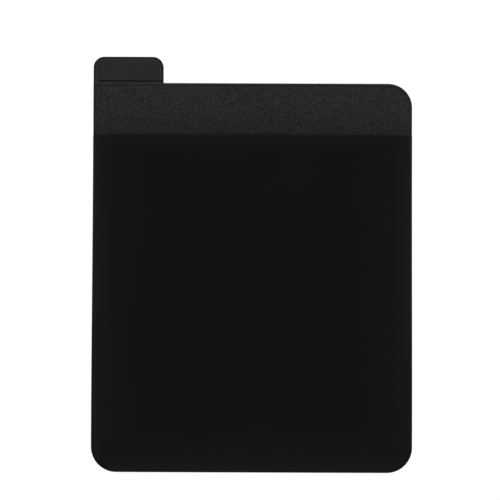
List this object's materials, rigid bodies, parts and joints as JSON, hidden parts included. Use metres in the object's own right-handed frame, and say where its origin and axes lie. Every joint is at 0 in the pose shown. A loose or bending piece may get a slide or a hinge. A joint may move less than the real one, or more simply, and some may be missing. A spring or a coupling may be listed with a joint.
{
  "type": "stick-on storage pouch",
  "caption": "Black stick-on storage pouch with an open stretch-fabric pocket, a grained band above its mouth and a pull tab at the top left corner.",
  "frame": {"origin": "centre of the bounding box at its base, on the liner's back face", "axes": "+Z out of the pocket's front, +Y towards the mouth and the pull tab, +X to the right seen from the front"},
  "size_m": [0.1202, 0.1554, 0.0091],
  "materials": {
    "liner_film": "thin milky release film, slightly glossy",
    "adhesive_gel": "soft reusable adhesive, smooth and slightly shiny",
    "smooth_sheet": "smooth matte black sheet",
    "grained_sheet": "fine-grained matte black leatherette",
    "stretch_fabric": "fine stretch knit, near black"
  },
  "bodies": {
    "root": {"release_liner": "liner_film", "adhesive_pad": "adhesive_gel", "core_panel": "smooth_sheet", "facing_panel": "grained_sheet", "pocket_front": "stretch_fabric"}
  },
  "joints": []
}
